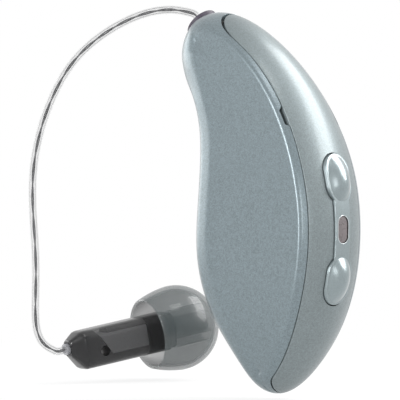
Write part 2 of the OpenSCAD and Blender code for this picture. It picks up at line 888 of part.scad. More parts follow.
// Route of the wire from the plug, over the top of the ear and down to the receiver
wire_route = [[-3.4, 0, 13.7], [-5.4, 0, 14], [-7.5, 0, 13.9], [-9.6, 0, 13.4], [-11.9, 0, 12.8],
    [-14.2, 0, 11.7], [-16.4, 0, 10.5], [-18, 0, 9.4], [-19.4, 0, 8.2], [-21.3, 0, 5.9],
    [-23, 0, 2.4], [-23.7, 0, 0.1], [-23.9, 0, -2.3], [-24, 0, -4.6], [-23.7, 0, -6.9],
    [-23.3, 0, -9.2], [-23.1, 0, -11.6], [-23.4, 0, -13.9], [-23.7, 0, -16.2], [-23.6, 0.15, -17.4],
    [-23.5, 0.5, -18.2], [-23.4, 1.2, -18.9], [-23.3, 2, -19.3]];
wire_sides = 8;
bead_out = 0.35;
function tip_dir() = [cos(receiver_pitch) * cos(receiver_yaw), cos(receiver_pitch) * sin(receiver_yaw),
    sin(receiver_pitch)];
wire_start = [exit_point[0] + cap_rise * outward(exit_share)[0], 0,
    exit_point[1] + cap_rise * outward(exit_share)[1]];
// Height of the wire over the receiver's axis
wire_z = 0.4;
tip_up = [-sin(receiver_pitch) * cos(receiver_yaw), -sin(receiver_pitch) * sin(receiver_yaw),
    cos(receiver_pitch)];
wire_end = receiver_point + wire_z * tip_up - bead_out * tip_dir();
start_dir = [outward(exit_share)[0], 0, outward(exit_share)[1]];
wire_points = concat([wire_start, wire_start + wire_d * start_dir], wire_route,
    [wire_end - wire_d * tip_dir(), wire_end]);

function unit(a) = a / norm(a);
function along(p, k, t) = let (n = len(p) - 1, a = p[max(0, k - 1)], b = p[k], c = p[min(n, k + 1)],
        d = p[min(n, k + 2)])
    0.5 * (2 * b + t * (c - a) + t * t * (2 * a - 5 * b + 4 * c - d)
        + t * t * t * (-a + 3 * b - 3 * c + d));
wire_steps = 2;
wire_line = concat([wire_points[0]],
    [for (k = [1:len(wire_points) - 3]) for (s = [0:wire_steps - 1])
        along(wire_points, k, s / wire_steps)],
    [wire_points[len(wire_points) - 2], wire_points[len(wire_points) - 1]]);
function heading(p, k) = let (n = len(p) - 1)
    k == 0 ? start_dir : k == n ? tip_dir() : unit(p[k + 1] - p[k - 1]);
function carried(p, k, side) = let (h = heading(p, k)) unit(side - (side * h) * h);
function sides_of(p, k = 0, side = [0, 1, 0]) = k == len(p) ? []
    : let (s = carried(p, k, side)) concat([s], sides_of(p, k + 1, s));

module swept_tube(p, r, count) {
    n = len(p);
    sides = sides_of(p);
    rings = [for (k = [0:n - 1]) for (j = [0:count - 1])
        p[k] + r * (cos(360 * j / count) * sides[k] + sin(360 * j / count) * cross(heading(p, k), sides[k]))];
    faces = concat(
        flat([for (k = [0:n - 2]) for (j = [0:count - 1]) let (m = (j + 1) % count)
            quad(k * count + j, (k + 1) * count + j, (k + 1) * count + m, k * count + m)]),
        [for (j = [1:count - 2]) [0, j, j + 1]],
        [for (j = [1:count - 2]) [(n - 1) * count, (n - 1) * count + j + 1, (n - 1) * count + j]]);
    polyhedron(rings, faces, convexity = 6);
}

module receiver_wire() {
    color([0.8, 0.8, 0.8, 0.6])
        swept_tube(wire_line, wire_d / 2, wire_sides);
}

// Receiver

bead_r = 0.55;
bead_l = 1.1;
module wire_strain_relief() {
    color([0.6, 0.6, 0.62])
        at_receiver()
            translate([-bead_out, 0, wire_z])
                rotate([0, 90, 0])
                    cylinder(r = bead_r, h = bead_out + bead_l);
}

nose_shares = [0.42, 0.5];
nose_l = 1.4;
shell_round = 1.0;
can_l = 5.0;
can_start = 4.3;
module shell_section(h, w, r, x, t) {
    translate([x, 0, 0])
        rotate([90, 0, 90])
            linear_extrude(t) {
                for (a = [-1, 1], b = [-1, 1])
                    translate([a * (w / 2 - r), b * (h / 2 - r)])
                        circle(r = r);
                square([w, h - 2 * r], center = true);
                square([w - 2 * r, h], center = true);
            }
}

tail_x = 3.3;
tail_z = -0.4;
collar_l = 0.6;
module receiver_shell() {
    color([0.2, 0.2, 0.21])
        at_receiver()
            difference() {
                union() {
                    hull() {
                        translate([0, 0, wire_z])
                            shell_section(shell_h * nose_shares[0], shell_w * nose_shares[1],
                                shell_round / 2, 0, cut / 5);
                        shell_section(shell_h, shell_w, shell_round, nose_l, cut / 5);
                    }
                    shell_section(shell_h, shell_w, shell_round, nose_l, shell_l - nose_l - collar_l);
                    shell_section(shell_h - collar_l / 2, shell_w - collar_l / 2,
                        shell_round - collar_l / 4, shell_l - 2 * collar_l, 2 * collar_l);
                }
                shell_section(shell_h - 2 * shell_wall, shell_w - 2 * shell_wall,
                    shell_round - shell_wall, can_start - fit_gap, can_l + 2 * fit_gap);
                translate([-cut, 0, wire_z])
                    rotate([0, 90, 0])
                        cylinder(r = bead_r + pin_gap, h = cut + bead_l + pin_gap);
                translate([tail_x, shell_w, tail_z])
                    rotate([90, 0, 0])
                        cylinder(r = tail_r, h = 2 * shell_w);
                translate([can_start, 0, 0])
                    rotate([0, 90, 0])
                        cylinder(r = spout_bore, h = shell_l);
            }
}

module receiver_speaker() {
    color([0.55, 0.55, 0.56])
        at_receiver()
            shell_section(shell_h - 2 * (shell_wall + fit_gap), shell_w - 2 * (shell_wall + fit_gap),
                shell_round - shell_wall - fit_gap, can_start, can_l);
}

spout_l = 3.8;
spout_bore = 0.6;
module sound_spout() {
    color([0.2, 0.2, 0.21])
        at_receiver()
            translate([shell_l, 0, 0])
                rotate([0, 90, 0])
                    difference() {
                        cylinder(r = spout_r, h = spout_l);
                        translate([0, 0, -cut])
                            cylinder(r = spout_bore, h = spout_l + 2 * cut);
                    }
}

guard_head = 0.25;
guard_l = 1.4;
guard_r = 0.57;
guard_bore = 0.35;
module wax_guard() {
    color([0.92, 0.92, 0.9])
        at_receiver()
            translate([shell_l + spout_l, 0, 0])
                rotate([0, 90, 0])
                    difference() {
                        union() {
                            cylinder(r = spout_r - fit_gap, h = guard_head);
                            translate([0, 0, -guard_l])
                                cylinder(r = guard_r, h = guard_l + guard_head / 2);
                        }
                        translate([0, 0, -guard_l - cut])
                            cylinder(r = guard_bore, h = guard_l + guard_head + 2 * cut);
                    }
}

// Ear dome

dome_x = 12.3;
// Distance of the open rim before the dome's centre, as a share of the dome's radius
rim_share_x = 0.6;
sleeve_gap = 0.08;
sleeve_start = 0.3;
dome_r = dome_d / 2;
inner_r = dome_r - dome_skin;
bore_r = spout_r + sleeve_gap;
dome_steps = 14;
// Angles from the dome's axis, of the rim and of the hole in the tip
rim_angle = 90 + asin(rim_share_x);
inner_rim_angle = 90 + asin(rim_share_x * dome_r / inner_r);
top_angle = asin(bore_r / dome_r);
inner_top_angle = asin(sleeve_r / inner_r);
function arc_at(a, b, k) = let (c = a + (b - a) * k / dome_steps) [sin(c), cos(c)];
module ear_dome() {
    color([0.5, 0.56, 0.57, 0.7])
        at_receiver()
            translate([dome_x, 0, 0])
                rotate([0, 90, 0])
                    rotate_extrude()
                        polygon(concat(
                            [for (k = [0:dome_steps]) dome_r * arc_at(rim_angle, top_angle, k)],
                            [[bore_r, shell_l + sleeve_start - dome_x],
                                [sleeve_r, shell_l + sleeve_start - dome_x]],
                            [for (k = [dome_steps:-1:0])
                                inner_r * arc_at(inner_rim_angle, inner_top_angle, k)]));
}

outer_case_half();
inner_case_half();
spine_cover();
rocker_button();
pivot_pins();
rocker_bracket();
indicator_lens();
indicator_lamp();
main_board();
upper_switch();
lower_switch();
upper_snap_dome();
lower_snap_dome();
signal_processor();
radio_module();
telecoil();
front_microphone();
rear_microphone();
front_mic_gasket();
rear_mic_gasket();
mic_meshes();
battery_cell();
battery_tabs();
charge_contacts();
contact_carrier();
inner_frame();
receiver_socket();
socket_contacts();
retention_clip();
receiver_plug();
plug_contacts();
plug_seal();
receiver_wire();
wire_strain_relief();
receiver_shell();
receiver_speaker();
sound_spout();
wax_guard();
ear_dome();
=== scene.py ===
"""Looks of the behind the ear hearing aid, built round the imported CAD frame."""
import math

import bpy
from mathutils import Matrix, Vector


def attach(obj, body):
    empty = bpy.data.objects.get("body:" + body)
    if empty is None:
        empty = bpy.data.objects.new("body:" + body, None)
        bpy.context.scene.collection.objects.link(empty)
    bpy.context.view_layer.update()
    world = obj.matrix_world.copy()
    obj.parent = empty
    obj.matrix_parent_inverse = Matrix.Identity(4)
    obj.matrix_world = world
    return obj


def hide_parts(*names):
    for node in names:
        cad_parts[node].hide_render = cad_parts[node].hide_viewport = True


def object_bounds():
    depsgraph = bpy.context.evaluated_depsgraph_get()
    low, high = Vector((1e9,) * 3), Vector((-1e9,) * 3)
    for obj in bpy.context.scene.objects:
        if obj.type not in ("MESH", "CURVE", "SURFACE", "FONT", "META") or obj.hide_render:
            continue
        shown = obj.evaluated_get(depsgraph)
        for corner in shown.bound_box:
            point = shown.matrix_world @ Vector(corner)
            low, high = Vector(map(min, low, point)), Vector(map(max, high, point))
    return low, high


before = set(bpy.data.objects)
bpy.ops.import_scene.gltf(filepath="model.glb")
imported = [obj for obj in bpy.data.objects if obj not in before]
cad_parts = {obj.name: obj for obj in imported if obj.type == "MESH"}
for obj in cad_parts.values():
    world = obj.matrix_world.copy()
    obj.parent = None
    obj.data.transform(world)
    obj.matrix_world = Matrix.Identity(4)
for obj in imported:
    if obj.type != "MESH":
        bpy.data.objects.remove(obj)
cad_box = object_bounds()
MM = 0.001

# Sizes shared with the part's source, in millimetres
BODY_H, BODY_D, BODY_T = 35.6, 18.4, 8.7
HEAD_TAPER, TIP_TAPER = 2.2, 3.0
HEAD_POWER, TIP_POWER = 1.5, 2.5
FRONT_ROUND, NOSE_ROUND, SPINE_CROWN = 3.0, 1.9, 1.45
WALL, SEAM = 0.8, 0.08
FRONT_PORT, REAR_PORT_W, REAR_PORT_L = 0.32, 0.32, 2.2
CAP_RISE, CAP_D = 0.45, 3.2
WIRE_R = 0.4
ROCKER_L, PAD_W, PAD_L, BAR_W = 14.0, 3.2, 4.6, 2.0
BAR_RISE, PAD_RISE = 0.12, 0.9
SHELL_H, SHELL_W, SHELL_L, SHELL_ROUND = 3.8, 3.1, 11.4, 1.0
DOME_R, DOME_SKIN, DOME_X = 4.2, 0.35, 12.3
SPOUT_R, SLEEVE_R = 1.0, 1.9

# Control points of the side outline, as shares of the depth and the height
OUTLINE = [(0.845, 0.09), (1.015, 0.325), (1, 0.59), (0.755, 0.83), (0.385, 0.985), (0.07, 1.02),
           (-0.045, 0.88), (0.11, 0.78), (0.155, 0.645), (0.13, 0.5), (0.105, 0.35),
           (0.205, 0.195), (0.395, 0.075), (0.565, -0.04)]
SPANS = len(OUTLINE)

# Places along the outline, counted in control points
LOOP_START, FRONT_MIDDLE = -2, 7
REST_AT, LAMP_AT, EXIT_AT, CONTACT_AT = 7.16, 0.41, 4.27, 10.08
TOP_AT, LOW_AT, REAR_PORT_AT = 3.46, -1.92, 1.655
CROWN_ENDS, CROWN_STARTS = (3.9, 5.9), (11.3, 13.3)
DEEP_STARTS, DEEP_ENDS = (5.2, 7), (9.6, 12.2)
CORNER_TOP, CORNER_LOW, CORNER_POWER = 0.62, 0.42, 2.3

# Shares of the height, of the half-thickness and of the rear port's half-length
FLAT_LOW, FLAT_TOP = 0.333, 0.558
COVER_SHARE, PORT_SHOULDER = 0.834, 0.86


def _weights(t):
    return [(1 - t) ** 3 / 6, (3 * t ** 3 - 6 * t * t + 4) / 6,
            (-3 * t ** 3 + 3 * t * t + 3 * t + 1) / 6, t ** 3 / 6]


def _slopes(t):
    return [-(1 - t) ** 2 / 2, (3 * t * t - 4 * t) / 2, (-3 * t * t + 2 * t + 1) / 2, t * t / 2]


def _blend(weights, i):
    x = sum(w * OUTLINE[(i + k) % SPANS][0] for k, w in enumerate(weights)) * BODY_D
    z = sum(w * OUTLINE[(i + k) % SPANS][1] for k, w in enumerate(weights)) * BODY_H
    return x, z


def raw_point(u):
    return _blend(_weights(u - math.floor(u)), math.floor(u))


def slope(u):
    return _blend(_slopes(u - math.floor(u)), math.floor(u))


def speed(u):
    return math.hypot(*slope(u))


def outward(u):
    x, z = slope(u)
    size = math.hypot(x, z)
    return z / size, -x / size


REST = raw_point(REST_AT)


def edge_point(u):
    """A point of the outline, measured from the frame's origin, which rests on the ear."""
    x, z = raw_point(u)
    return x - REST[0], z - REST[1]


def on_edge(u):
    """The outline's point and its outward direction, as vectors."""
    x, z = edge_point(u)
    nx, nz = outward(u)
    return Vector((x, 0, z)), Vector((nx, 0, nz))


def inward(u):
    nx, nz = outward(u)
    return Vector((-nx, 0, -nz))


def ease(a, b, x):
    t = min(1, max(0, (x - a) / (b - a)))
    return t * t * (3 - 2 * t)


def around(u):
    """The same place, counted within one loop of the outline."""
    return u - SPANS * math.floor((u - LOOP_START) / SPANS)


def spine_share(u):
    """1 along the crowned spine and 0 along the softly rounded front."""
    u = around(u)
    return 1 - ease(*CROWN_ENDS, u) if u < FRONT_MIDDLE else ease(*CROWN_STARTS, u)


def rounding(u):
    a = around(u)
    share = ease(*DEEP_STARTS, a) * (1 - ease(*DEEP_ENDS, a))
    front = NOSE_ROUND + (FRONT_ROUND - NOSE_ROUND) * share
    return front + (SPINE_CROWN - front) * spine_share(u)


def half_t(u):
    """Half the case's thickness, which tapers over the head and over the tip."""
    z = raw_point(u)[1] / BODY_H
    return (BODY_T / 2 - HEAD_TAPER / 2 * (max(0, z - FLAT_TOP) / (1 - FLAT_TOP)) ** HEAD_POWER
            - TIP_TAPER / 2 * (max(0, FLAT_LOW - z) / FLAT_LOW) ** TIP_POWER)


def fall(u, v):
    """How far the skin has fallen from the outline at v, as a share of the rounding."""
    return 1 - max(0, 1 - v * v) ** (0.5 + 0.5 * spine_share(u))


def skin(u, v, depth=0.0):
    """A point of the case's skin in millimetres, v from 0 on the mid-plane to 1 on the cheek."""
    x, z = edge_point(u)
    nx, nz = outward(u)
    d = rounding(u) * fall(u, v) + depth
    return Vector((x - d * nx, v * half_t(u), z - d * nz))


def corner(t):
    return (1 - (1 - min(1, max(0, t))) ** CORNER_POWER) ** (1 / CORNER_POWER)


def corners(u, low, top):
    return COVER_SHARE * corner((u - low) / CORNER_LOW) * corner((top - u) / CORNER_TOP)


COVER_LOW = LOW_AT + SEAM / speed(LOW_AT)
COVER_TOP = TOP_AT - FRONT_PORT / speed(TOP_AT)
END_HALF = 0.1
REAR_HALF = REAR_PORT_L / 2 / speed(REAR_PORT_AT)


def seam_share(u):
    return corners(u, LOW_AT, TOP_AT)


def cover_share(u):
    h = half_t(u)
    return max(END_HALF, h * corners(u, COVER_LOW, COVER_TOP) - SEAM) / h


def rim_share(u):
    """Where the half's rim lies, which gives way to the rear port."""
    port = 1 - ease(REAR_HALF * PORT_SHOULDER, REAR_HALF, abs(u - REAR_PORT_AT))
    return seam_share(u) + REAR_PORT_W * port / half_t(u)


def in_scene(name, data):
    obj = bpy.data.objects.new(name, data)
    bpy.context.scene.collection.objects.link(obj)
    return obj


# Camera
AZIMUTH, ELEVATION, DISTANCE = math.radians(42), math.radians(1.5), 0.5
FOCAL_LENGTH, SENSOR_WIDTH, NEAR_LIMIT = 477, 36, 0.01
TARGET = Vector((-1.912, 0, -4.218)) * MM
eye = TARGET + DISTANCE * Vector((math.sin(AZIMUTH) * math.cos(ELEVATION),
                                  -math.cos(AZIMUTH) * math.cos(ELEVATION), math.sin(ELEVATION)))
camera_data = bpy.data.cameras.new("camera")
camera_data.lens = FOCAL_LENGTH
camera_data.sensor_width = SENSOR_WIDTH
camera_data.clip_start = NEAR_LIMIT
camera = in_scene("camera", camera_data)
camera.location = eye
camera.rotation_euler = (TARGET - eye).to_track_quat("-Z", "Y").to_euler()
bpy.context.scene.camera = camera

# Materials
FINE_FLAKES, BROAD_FLAKES, BROAD_SHARE, FLAKE_BAND = 9500, 3800, 0.35, (0.36, 0.64)
FLAKE_BUMP, FLAKE_DEPTH = 0.06, 0.00001
GRAIN_BUMP, GRAIN_DEPTH, ROUGH_VARY = 0.02, 0.00002, 0.12
CLEAR_GRAIN, CLEAR_VARY = 1800, 0.07
PLAIN_COAT_ROUGH, CLEAR_COAT_ROUGH = 0.12, 0.08


def node_tree(name):
    mat = bpy.data.materials.new(name)
    mat.use_nodes = True
    return mat, mat.node_tree.nodes, mat.node_tree.links, mat.node_tree.nodes["Principled BSDF"]


def speckle(nodes, links, scale, detail=2.0):
    where = nodes.new("ShaderNodeTexCoord")
    noise = nodes.new("ShaderNodeTexNoise")
    noise.inputs["Scale"].default_value = scale
    noise.inputs["Detail"].default_value = detail
    links.new(where.outputs["Object"], noise.inputs["Vector"])
    return noise.outputs["Fac"]


def ramp(nodes, links, source, low, high, start=0.35, end=0.65):
    """A value that goes from low to high while the source goes from start to end."""
    band = nodes.new("ShaderNodeMapRange")
    band.inputs["From Min"].default_value = start
    band.inputs["From Max"].default_value = end
    band.inputs["To Min"].default_value = low
    band.inputs["To Max"].default_value = high
    links.new(source, band.inputs["Value"])
    return band.outputs["Result"]


def two_tone(nodes, links, bsdf, colour, vary, share):
    """A base colour that goes from darker to lighter with the share."""
    mix = nodes.new("ShaderNodeMix")
    mix.data_type = "RGBA"
    mix.inputs["A"].default_value = (*[c * (1 - vary) for c in colour], 1)
    mix.inputs["B"].default_value = (*[min(1, c * (1 + vary)) for c in colour], 1)
    links.new(share, mix.inputs["Factor"])
    links.new(mix.outputs["Result"], bsdf.inputs["Base Color"])


def bumps(nodes, links, bsdf, height, strength, depth):
    lump = nodes.new("ShaderNodeBump")
    lump.inputs["Strength"].default_value = strength
    lump.inputs["Distance"].default_value = depth
    links.new(height, lump.inputs["Height"])
    links.new(lump.outputs["Normal"], bsdf.inputs["Normal"])


def coated(bsdf, weight, rough):
    bsdf.inputs["Coat Weight"].default_value = weight
    bsdf.inputs["Coat Roughness"].default_value = rough


def mix_shaders(nodes, links, share, first, second):
    """The first shader where the share is 0 and the second where it is 1."""
    both = nodes.new("ShaderNodeMixShader")
    links.new(share, both.inputs["Fac"])
    links.new(first, both.inputs[1])
    links.new(second, both.inputs[2])
    return both.outputs["Shader"]


def plain(name, colour, rough=0.5, metal=0.0, grain=2500, vary=0.12, coat=0.0):
    """A procedural finish: one colour that varies a little, with fine grain in its roughness."""
    mat, nodes, links, bsdf = node_tree(name)
    noise = speckle(nodes, links, grain)
    two_tone(nodes, links, bsdf, colour, vary, noise)
    roughness = ramp(nodes, links, noise, rough * (1 - ROUGH_VARY), min(1, rough * (1 + ROUGH_VARY)))
    links.new(roughness, bsdf.inputs["Roughness"])
    bsdf.inputs["Metallic"].default_value = metal
    coated(bsdf, coat, PLAIN_COAT_ROUGH)
    bumps(nodes, links, bsdf, noise, GRAIN_BUMP, GRAIN_DEPTH)
    return mat


def paint(name, colour, rough, flake, metal=0.6, coat=0.4, coat_rough=0.2):
    """Metallic paint: fine bright and dark flakes under a thin clear coat."""
    mat, nodes, links, bsdf = node_tree(name)
    fine = speckle(nodes, links, FINE_FLAKES, 1.0)
    both = nodes.new("ShaderNodeMix")
    both.data_type = "FLOAT"
    both.inputs["Factor"].default_value = BROAD_SHARE
    links.new(fine, both.inputs["A"])
    links.new(speckle(nodes, links, BROAD_FLAKES), both.inputs["B"])
    two_tone(nodes, links, bsdf, colour, flake,
             ramp(nodes, links, both.outputs["Result"], 0, 1, *FLAKE_BAND))
    bsdf.inputs["Metallic"].default_value = metal
    bsdf.inputs["Roughness"].default_value = rough
    coated(bsdf, coat, coat_rough)
    bumps(nodes, links, bsdf, fine, FLAKE_BUMP, FLAKE_DEPTH)
    return mat


def see_through(name, colour, clear, rough=0.1, edge=0.0, rise=0.0, coat=0.0):
    """A clear or smoked skin: it lets light through and thickens towards its outline."""
    mat, nodes, links, bsdf = node_tree(name)
    two_tone(nodes, links, bsdf, colour, CLEAR_VARY, speckle(nodes, links, CLEAR_GRAIN))
    bsdf.inputs["Roughness"].default_value = rough
    coated(bsdf, coat, CLEAR_COAT_ROUGH)
    weight = nodes.new("ShaderNodeLayerWeight")
    weight.inputs["Blend"].default_value = 0.5
    solid = 1 - clear
    share = ramp(nodes, links, weight.outputs["Facing"], solid, min(1, solid + edge), rise, 1.0)
    clear_node = nodes.new("ShaderNodeBsdfTransparent")
    shader = mix_shaders(nodes, links, share, clear_node.outputs["BSDF"], bsdf.outputs["BSDF"])
    links.new(shader, nodes["Material Output"].inputs["Surface"])
    return mat


CASE = paint("case_paint", (0.168, 0.209, 0.226), 0.34, 0.18)
COVER = paint("cover_paint", (0.178, 0.21, 0.217), 0.45, 0.15)
ROCKER = paint("rocker_paint", (0.22, 0.262, 0.272), 0.3, 0.06, coat=0.7, coat_rough=0.2)
LENS = plain("lens_smoke", (0.125, 0.106, 0.108), 0.3, coat=0.3, vary=0.06)
# Bright colour of the window's rim, painted as the highlight on the hole's edge
RIM_HIGHLIGHT = plain("rim_painted_highlight", (0.62, 0.66, 0.67), 0.2, metal=0.5)
CAP = plain("cap_plum", (0.052, 0.042, 0.062), 0.45, vary=0.1)
TUBE = see_through("tube_clear", (0.32, 0.32, 0.325), 0.86, 0.12)
BORE = see_through("tube_bore", (0.03, 0.03, 0.031), 0.96, 0.35, edge=0.96, rise=0.5)
CORE = plain("wire_core", (0.07, 0.07, 0.073), 0.5, grain=6000)
BEAD = see_through("bead_clear", (0.4, 0.4, 0.42), 0.5, 0.1, edge=0.4)
SHELL = see_through("shell_smoke", (0.01, 0.01, 0.011), 0.34, 0.3, edge=1.2, rise=0.1, coat=0.4)
FILL = plain("shell_fill", (0.014, 0.014, 0.015), 0.5, vary=0.3)
CAN = plain("speaker_can", (0.5, 0.5, 0.505), 0.6, grain=9000, vary=0.3)
SILICONE = see_through("dome_silicone", (0.085, 0.101, 0.103), 0.56, 0.35, 0.42, 0.4, 0.5)
GUARD = plain("guard_white", (0.8, 0.8, 0.78), 0.5)
GOLD = plain("gold", (0.78, 0.56, 0.2), 0.3, metal=1.0)
STEEL = plain("steel", (0.55, 0.56, 0.58), 0.32, metal=1.0)
DARK = plain("dark_plastic", (0.03, 0.03, 0.033), 0.5)
BOARD = plain("board_green", (0.015, 0.09, 0.04), 0.4, coat=0.3)
COPPER = plain("winding", (0.42, 0.16, 0.06), 0.35, metal=0.9, grain=9000, vary=0.3)
CERAMIC = plain("ceramic", (0.62, 0.6, 0.55), 0.5)
SOFT = plain("soft_black", (0.02, 0.02, 0.02), 0.8)
LAMP = plain("lamp_body", (0.75, 0.72, 0.55), 0.35)

# Nodes that show their own CAD mesh
PAINTED = {
    "pivot_pins": STEEL, "rocker_bracket": DARK, "indicator_lamp": LAMP, "main_board": BOARD,
    "upper_switch": CERAMIC, "lower_switch": CERAMIC, "upper_snap_dome": STEEL,
    "lower_snap_dome": STEEL, "signal_processor": DARK, "radio_module": STEEL,
    "telecoil": COPPER, "front_microphone": GOLD, "rear_microphone": GOLD,
    "front_mic_gasket": SOFT, "rear_mic_gasket": SOFT, "mic_meshes": DARK,
    "battery_cell": STEEL, "battery_tabs": STEEL, "charge_contacts": GOLD,
    "contact_carrier": DARK, "inner_frame": DARK, "receiver_socket": DARK,
    "socket_contacts": GOLD, "retention_clip": STEEL, "receiver_plug": CAP,
    "plug_contacts": GOLD, "plug_seal": SOFT, "wire_strain_relief": BEAD,
    "sound_spout": FILL, "wax_guard": GUARD,
}
for name, mat in PAINTED.items():
    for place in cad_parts[name].material_slots:
        place.material = mat

# Mesh helpers
CUT_SHARP, NEARLY_ALONG = 32, 0.9


def millimetre_mesh(name, points, faces):
    mesh = bpy.data.meshes.new(name)
    mesh.from_pydata([tuple(c * MM for c in p) for p in points], [], faces)
    return mesh


def make(name, points, faces, mat, body, slot, nodes=(), sharp=None):
    """A piece from points in millimetres, riding on a body and standing for CAD nodes."""
    mesh = millimetre_mesh(name, points, faces)
    mesh.validate()
    mesh.polygons.foreach_set("use_smooth", [True] * len(mesh.polygons))
    if sharp:
        mesh.set_sharp_from_angle(angle=math.radians(sharp))
    mesh.materials.append(mat)
    obj = in_scene(name, mesh)
    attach(obj, body)
    if nodes:
        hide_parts(*nodes)
    return obj


def between(a, b, steps):
    """Values from a to b in even steps, with both ends."""
    return [a + (b - a) * k / steps for k in range(steps + 1)]


def angles(sides):
    return [2 * math.pi * j / sides for j in range(sides)]


def bend(a, b, c, t):
    """A point of the curve from a to c that is drawn to the corner b."""
    return a * (1 - t) ** 2 + b * 2 * t * (1 - t) + c * t * t


def mirrored(points):
    return [Vector((p.x, -p.y, p.z)) for p in points]


def flip(faces):
    return [tuple(reversed(f)) for f in faces]


def lattice(rows, cols, first=0, wrap_rows=False, wrap_cols=False):
    """Quads of a grid whose point (r, c) is number first + r * cols + c."""
    faces = []
    for r in range(rows if wrap_rows else rows - 1):
        for c in range(cols if wrap_cols else cols - 1):
            d, e = (r + 1) % rows, (c + 1) % cols
            faces.append((first + r * cols + c, first + d * cols + c,
                          first + d * cols + e, first + r * cols + e))
    return faces


def capped(rows, cols):
    """Quads of closed rows that follow each other, and one face over each end."""
    last = (rows - 1) * cols
    return (lattice(rows, cols, wrap_cols=True)
            + [tuple(reversed(range(cols))), tuple(range(last, last + cols))])


def prism_tool(name, points):
    """A solid to cut with, from one closed loop of points and then the same loop further on."""
    n = len(points) // 2
    faces = [(j, (j + 1) % n, n + (j + 1) % n, n + j) for j in range(n)]
    faces += [tuple(reversed(range(n))), tuple(range(n, 2 * n))]
    mesh = millimetre_mesh(name, points, faces)
    mesh.update()
    return in_scene(name, mesh)


def rod_tool(name, centre, axis, radius, low, high, sides=72):
    """A plain rod along an axis, from low to high along it, to cut bores with."""
    side = Vector((0, 1, 0))
    if abs(axis.dot(side)) > NEARLY_ALONG:
        side = Vector((0, 0, 1))
    side = (side - axis * side.dot(axis)).normalized()
    up = axis.cross(side)
    return prism_tool(name, [centre + axis * d + radius * (math.cos(w) * side + math.sin(w) * up)
                             for d in (low, high) for w in angles(sides)])


def cut(obj, tool):
    """Takes the tool's solid out of a piece and removes the tool."""
    modifier = obj.modifiers.new("cut", "BOOLEAN")
    modifier.operation = "DIFFERENCE"
    modifier.solver = "EXACT"
    modifier.object = tool
    bpy.context.view_layer.objects.active = obj
    for other in bpy.context.selected_objects:
        other.select_set(False)
    obj.select_set(True)
    bpy.ops.object.modifier_apply(modifier="cut")
    bpy.data.objects.remove(tool, do_unlink=True)
    obj.data.set_sharp_from_angle(angle=math.radians(CUT_SHARP))


# Receiver wire, which starts on the cap and ends in the bead, in millimetres
EXIT, EXIT_DIR = on_edge(EXIT_AT)
ROUTE = [(-3.4, 0, 13.7), (-5.4, 0, 14), (-7.5, 0, 13.9), (-9.6, 0, 13.4), (-11.9, 0, 12.8),
         (-14.2, 0, 11.7), (-16.4, 0, 10.5), (-18, 0, 9.4), (-19.4, 0, 8.2), (-21.3, 0, 5.9),
         (-23, 0, 2.4), (-23.7, 0, 0.1), (-23.9, 0, -2.3), (-24, 0, -4.6), (-23.7, 0, -6.9),
         (-23.3, 0, -9.2), (-23.1, 0, -11.6), (-23.4, 0, -13.9), (-23.7, 0, -16.2),
         (-23.6, 0.15, -17.4), (-23.5, 0.5, -18.2), (-23.4, 1.2, -18.9), (-23.3, 2, -19.3)]
BEAD_OUT, WIRE_Z, STUB = 0.35, 0.4, 0.8
CALM_ROUNDS, LINE_STEPS = 3, 10
BORE_R, STRAND_R, TWIST_R, TWIST_L = 0.29, 0.07, 0.075, 5.8

# The receiver's nose and its axes, along, across and up
NOSE = Vector((-22.8, 4, -19.6))
YAW, PITCH = math.radians(72), math.radians(10.2)
RX = Vector((math.cos(PITCH) * math.cos(YAW), math.cos(PITCH) * math.sin(YAW), math.sin(PITCH)))
RY = Vector((-math.sin(YAW), math.cos(YAW), 0))
RZ = Vector((-math.sin(PITCH) * math.cos(YAW), -math.sin(PITCH) * math.sin(YAW), math.cos(PITCH)))


def at_receiver(x, y, z):
    return NOSE + RX * x + RY * y + RZ * z


def calmed(points):
    """The same line, with every point but two at each end drawn towards its neighbours."""
    middle = [(a + 2 * b + c) / 4 for a, b, c in zip(points[1:-3], points[2:-2], points[3:-1])]
    return points[:2] + middle + points[-2:]


def smooth_line(points):
    line = []
    n = len(points) - 1
    for k in range(n):
        a, b, c, d = (points[max(0, k - 1)], points[k], points[k + 1], points[min(n, k + 2)])
        for s in range(LINE_STEPS):
            t = s / LINE_STEPS
            line.append(0.5 * (2 * b + t * (c - a) + t * t * (2 * a - 5 * b + 4 * c - d)
                               + t ** 3 * (3 * b - a - 3 * c + d)))
    return line + [points[-1]]


def tube(line, radius, sides, turn=None):
    """Points and faces of a closed tube along a line; with a turn it twists round the line."""
    side = Vector((0, 1, 0))
    points = []
    run = 0
    for k, p in enumerate(line):
        a, b = line[max(0, k - 1)], line[min(len(line) - 1, k + 1)]
        ahead = (b - a).normalized()
        side = (side - ahead * side.dot(ahead)).normalized()
        up = ahead.cross(side)
        run += (p - line[max(0, k - 1)]).length
        centre = p
        if turn is not None:
            w = turn + 2 * math.pi * run / TWIST_L
            centre = p + TWIST_R * (side * math.cos(w) + up * math.sin(w))
        points += [centre + radius * (math.cos(w) * side + math.sin(w) * up) for w in angles(sides)]
    return points, capped(len(line), sides)


wire_start = EXIT + EXIT_DIR * CAP_RISE
wire_end = at_receiver(-BEAD_OUT, 0, WIRE_Z)
wire_points = ([wire_start, wire_start + EXIT_DIR * STUB] + [Vector(p) for p in ROUTE]
               + [wire_end - RX * STUB, wire_end])
for _ in range(CALM_ROUNDS):
    wire_points = calmed(wire_points)
wire_line = smooth_line(wire_points)
wire = make("wire_tube", *tube(wire_line, WIRE_R, 24), TUBE, "receiver", "receiver_wire",
            ["receiver_wire"])
bore = make("wire_bore", *tube(wire_line, BORE_R, 18), BORE, "receiver", "receiver_wire")
strands = [make("wire_strand_" + end, *tube(wire_line, STRAND_R, 8, turn), CORE, "receiver",
                "receiver_wire") for end, turn in (("a", 0), ("b", math.pi))]

